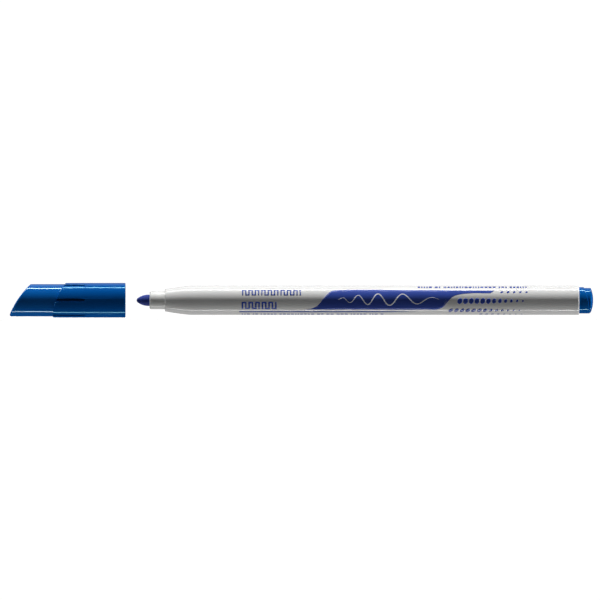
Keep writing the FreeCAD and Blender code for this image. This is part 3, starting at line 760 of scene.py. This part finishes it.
def small_bars(start, end, low, high, seed):
    """Short bars of uneven length with two widths of gap, as a line of small print looks from afar."""
    draw = np.random.default_rng(seed)
    marks, u = [], start
    while u < end:
        length = draw.choice([0.45, 0.7, 0.9])
        marks.append(bar(u, min(u + length, end), low, high))
        u += length + (0.9 if draw.random() < 0.16 else 0.32)
    return marks


marks = key_row(23.1, 41.6, low=1.45, high=3.45, pitch=0.96, stroke=0.38)
marks += key_row(23.0, 34.9, low=-2.8, high=-0.45, pitch=1.0, stroke=0.48)
rule_start, rule_end, rule_s, rule_half = 22.3, 76.5, -3.93, 0.27
rule_u = np.linspace(rule_start, rule_end, 60)
rule_thin = rule_half * np.clip((rule_end - rule_u) / 12, 0.05, 1)
marks.append(band(rule_u, rule_s - rule_thin, rule_s + rule_thin, 4))
marks += small_bars(23.0, 65.5, low=-6.0, high=-5.15, seed=11)
marks += small_bars(75.8, 108.5, low=4.4, high=5.4, seed=12)
print(f"{len(marks)} marks so far")

# %% [markdown]
# The large panel is a wave: it rises from a point, runs along the barrel and thins to a strip with a
# slanted end. Its two edges are smooth curves through a few heights.

# %% Wave panel
def smooth(u, knots):
    """Heights between knots (u, s): each span is the cubic that has both knots' heights and slopes, a sum of
    the four Hermite blends of t, where t runs from 0 to 1 over the span."""
    knots_u, knots_s = np.array(knots, float).T
    i = np.clip(np.searchsorted(knots_u, u, side="right") - 1, 0, len(knots_u) - 2)
    t = np.clip((u - knots_u[i]) / (knots_u[i + 1] - knots_u[i]), 0, 1)
    tangent = np.gradient(knots_s, knots_u)
    width = knots_u[i + 1] - knots_u[i]
    h00, h10 = 2 * t**3 - 3 * t**2 + 1, t**3 - 2 * t**2 + t
    h01, h11 = -2 * t**3 + 3 * t**2, t**3 - t**2
    return h00 * knots_s[i] + h10 * width * tangent[i] + h01 * knots_s[i + 1] + h11 * width * tangent[i + 1]


panel_start, panel_end = 41.8, 98.2
panel_u = np.linspace(panel_start, panel_end, 180)
top = smooth(panel_u, [(panel_start, -2.95), (44.2, -2.5), (46.2, -1.2), (47.8, 0.9), (49.4, 2.6),
                       (51.5, 3.35), (54, 3.45), (75, 3.4), (panel_end, 3.15)])
bottom = smooth(panel_u, [(panel_start, -3.0), (60, -2.98), (78, -2.95), (82.2, -2.75), (83.6, -1.9),
                          (84.8, -0.4), (86.2, 1.0), (88.2, 1.75), (91, 2.1), (panel_end, 2.16)])
panel_s = np.linspace(0, 1, 13)[:, None]
lean = 1.3 * np.clip((panel_u - 90) / 8, 0, 1) ** 2
panel = wrapped(panel_u[None] + lean * (panel_s - 0.5), bottom[None] + panel_s * (top - bottom)[None])
marks.append(panel)
print(f"the panel is {panel_end - panel_start:.1f} mm long and {(top - bottom).max():.1f} mm high")

# %% [markdown]
# Four rows of dots go on from the panel's end and get smaller, like ink running out. The first five dots
# or so of the two long rows keep their full size.

# %% Rows of shrinking dots
def dot_row(count, start, pitch, s, half_u, half_s, slant, shrink, full=0):
    """Dots at an even pitch. From number full on, each is smaller than the last by the share shrink of the
    full size."""
    sizes = [1 - shrink * max(0, i - full) for i in range(count)]
    return [dot(start + pitch * i, s, half_u * size, half_s * size, slant) for i, size in enumerate(sizes)]


marks += dot_row(5, 101.0, 1.85, s=2.6, half_u=0.42, half_s=0.4, slant=0.4, shrink=0.05)
marks += dot_row(12, 88.4, 1.718, s=-0.2, half_u=0.72, half_s=0.9, slant=0.15, shrink=0.1, full=4.5)
marks += dot_row(13, 85.7, 1.712, s=-3.3, half_u=0.62, half_s=0.74, slant=0.4, shrink=0.095, full=5)
marks += dot_row(8, 94.7, 1.75, s=-5.5, half_u=0.5, half_s=0.5, slant=0.4, shrink=0.08)
printing = skin("barrel_printing", marks, closed=False)

# %% [markdown]
# A plain wave line crosses the panel in the barrel's own white, as if a pen had been tried out on it. It
# is a ribbon along a sine whose wavelength grows and whose height and width fade towards both ends. It
# is printed over the panel, so it lies twice as high above the barrel.

# %% White wave line over the panel
wave_start, wave_length, wave_height, wave_half = 52.0, 30.0, 1.75, 0.17
wave_u = np.linspace(wave_start, wave_start + wave_length, 260)
run = wave_u - wave_start
fade = np.sin(np.pi * run / wave_length) ** 0.6
wave_s = 0.25 + wave_height * fade * np.sin(2 * np.pi * run / (4.2 + 0.09 * run))
slope = np.gradient(wave_s, wave_u)
thick_s = wave_half * np.sqrt(1 + slope**2) * np.clip(fade, 0.3, 1)
ribbon = band(wave_u, wave_s - thick_s, wave_s + thick_s, 4, 2 * INK_LIFT)
wave = skin("barrel_printing_wave", [ribbon], closed=False)

# %% [markdown]
# Printing ink is a real film, about ten microns thick, so the flat patches get a thickness. The ink is
# glossy like the barrel, a little uneven, and its edge is crisp.

# %% Thickness and finish of the ink
ink_blue = plastic("printing_ink_blue", (0.04, 0.08, 0.4), gloss=(0.2, 0.24), grain=0.02, shade=0.08)
ink_white = plastic("printing_ink_white", (0.74, 0.76, 0.82), gloss=(0.2, 0.24), grain=0.02, shade=0.02)
for piece, finish, slot in ((printing, ink_blue, "print_ink"), (wave, ink_white, "barrel_white")):
    film = piece.modifiers.new("film", "SOLIDIFY")
    film.thickness = 0.01 * MM
    film.offset = -1
    piece.data.materials.append(finish)
    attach(piece, "pen")
    print(f"{piece.name}: a film {film.thickness / MM * 1000:.0f} microns thick")

# %% [markdown]
# ## Studio
#
# The marker lies on a pale table. The table is a disc that fades out towards its rim, so that no edge
# shows against the white room. It takes shadows but casts none and shows in no reflection, so the
# lights below it still reach the marker.

# %% Table that fades into the room
low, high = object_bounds()
middle = (low + high) / 2
table_r, fade_from, fade_to, gap_below = 0.6, 0.12, 0.5, 0.00002
disc_angle = np.linspace(0, 2 * np.pi, 65)[None, :]
disc_r = np.linspace(0, 1, 9)[:, None] * table_r
disc = np.stack(np.broadcast_arrays(middle.x + disc_r * np.cos(disc_angle), disc_r * np.sin(disc_angle),
                                    low.z - gap_below), axis=-1)
table_mesh = bpy.data.meshes.new("table_top")
table_mesh.from_pydata(disc.reshape(-1, 3).tolist(), [], quads(*disc.shape[:2], 0).tolist())
table = bpy.data.objects.new("table_top", table_mesh)
bpy.context.scene.collection.objects.link(table)
table.visible_glossy = table.visible_diffuse = table.visible_shadow = False

pale, tree, out = bare_material("table_pale")
fade = node(tree, "ShaderNodeMixShader", 700, 0)
paint = node(tree, "ShaderNodeBsdfDiffuse", 400, -100, Color=(0.95, 0.95, 0.95, 1))
glow = node(tree, "ShaderNodeEmission", 400, -250, Color=(1, 1, 1, 1), Strength=0.25)
lit = node(tree, "ShaderNodeAddShader", 550, -150)
clear = node(tree, "ShaderNodeBsdfTransparent", 400, 50)
place = node(tree, "ShaderNodeTexCoord", -200, 200)
away = node(tree, "ShaderNodeVectorMath", 0, 200, operation="LENGTH")
edge = node(tree, "ShaderNodeMapRange", 200, 200, interpolation_type="SMOOTHSTEP")
edge.inputs["From Min"].default_value, edge.inputs["From Max"].default_value = fade_from, fade_to
tree.links.new(place.outputs["Object"], away.inputs[0])
tree.links.new(away.outputs["Value"], edge.inputs["Value"])
tree.links.new(edge.outputs["Result"], fade.inputs["Fac"])
tree.links.new(paint.outputs["BSDF"], lit.inputs[0])
tree.links.new(glow.outputs["Emission"], lit.inputs[1])
tree.links.new(lit.outputs["Shader"], fade.inputs[1])
tree.links.new(clear.outputs["BSDF"], fade.inputs[2])
tree.links.new(fade.outputs["Shader"], out.inputs["Surface"])
table.data.materials.append(pale)
print(f"the table is {2 * table_r:.1f} m across and fades out from {fade_from} to {fade_to} m")

# %% [markdown]
# Round glossy things are lit by long soft strips that run along them. Each light's place is an angle
# round the marker: 0 is the side that the camera sees, 90 is straight above. A wide softbox lights the
# upper front, a narrow strip right above draws the bright line, and another below draws the second line.
# Two boxes behind lift the lower and the upper edge, and a small box at each end lights the rims and
# steps that face along the marker. The softbox and the lower box behind show in no reflection, and the
# upper box behind shows only as a reflection.

# %% Soft lights round the marker
def softbox(name, place, size, power):
    """A rectangular light of that size at a place, turned towards the marker's middle."""
    lamp = bpy.data.lights.new(name, "AREA")
    lamp.shape, lamp.size, lamp.size_y, lamp.energy = "RECTANGLE", size[0], size[1], power
    holder = bpy.data.objects.new(name, lamp)
    bpy.context.scene.collection.objects.link(holder)
    holder.location = place
    holder.rotation_euler = (holder.location - middle).to_track_quat("Z", "X").to_euler()
    holder.visible_camera = False
    print(f"{name}: {size[0]:.2f} by {size[1]:.2f} m, {power} W")
    return holder


def strip(name, angle, half_width, power, distance=0.6, length=1.4):
    """A light that runs along X at an angle round the marker. It is as wide as it looks from there: twice
    the distance times the tangent of half its width in degrees."""
    a = math.radians(angle)
    place = (middle.x, -distance * math.cos(a), distance * math.sin(a))
    return softbox(name, place, (2 * distance * math.tan(math.radians(half_width)), length), power)


strip("softbox_upper_front", angle=75, half_width=15, power=2.5).visible_glossy = False
strip("strip_above", angle=94, half_width=3, power=5.8)
strip("strip_below", angle=-88.5, half_width=2, power=2.7)
strip("box_lower_back", angle=-120, half_width=20, power=1.3).visible_glossy = False
strip("box_upper_back", angle=132, half_width=18, power=0.8).visible_diffuse = False
end_away, end_size = 0.9, (0.05, 0.05)
softbox("box_nib_end", (-end_away, 0, 0), end_size, power=3.0)
softbox("box_plug_end", (end_away, 0, 0), end_size, power=6.0)

# %% [markdown]
# The room itself is plain white to the camera and dim to everything else.

# %% White room
world = bpy.data.worlds.new("studio_room")
bpy.context.scene.world = world
world.use_nodes = True
tree = world.node_tree
tree.nodes.clear()
out = node(tree, "ShaderNodeOutputWorld", 900, 0)
mix = node(tree, "ShaderNodeMixShader", 700, 0)
path = node(tree, "ShaderNodeLightPath", 400, 300)
room = node(tree, "ShaderNodeBackground", 400, -150, Strength=0.02)
seen = node(tree, "ShaderNodeBackground", 400, 100, Strength=1.3)
tree.links.new(path.outputs["Is Camera Ray"], mix.inputs["Fac"])
tree.links.new(room.outputs["Background"], mix.inputs[1])
tree.links.new(seen.outputs["Background"], mix.inputs[2])
tree.links.new(mix.outputs["Shader"], out.inputs["Surface"])
print(f"the room shines at {seen.inputs['Strength'].default_value:.1f} to the camera")

# %% [markdown]
# The camera looks level from the side through a very long lens, from far away, so that the tubes stay
# straight and both ends are seen at the same size. It aims a fraction of a millimetre off the middle.

# %% Camera
lens, sensor, width_seen = 900, 36, 0.18
camera_data = bpy.data.cameras.new("side_camera")
camera_data.lens, camera_data.sensor_width, camera_data.clip_end = lens, sensor, 50
camera = bpy.data.objects.new("side_camera", camera_data)
bpy.context.scene.collection.objects.link(camera)
aim_off, aim_up = -0.43 * MM, 0.09 * MM
camera.location = (middle.x + aim_off, -width_seen * lens / sensor, aim_up)
camera.rotation_euler = (math.radians(90), 0, 0)
bpy.context.scene.camera = camera
bpy.context.scene.view_settings.view_transform = "Standard"
print(f"the camera is {-camera.location.y:.2f} m away")
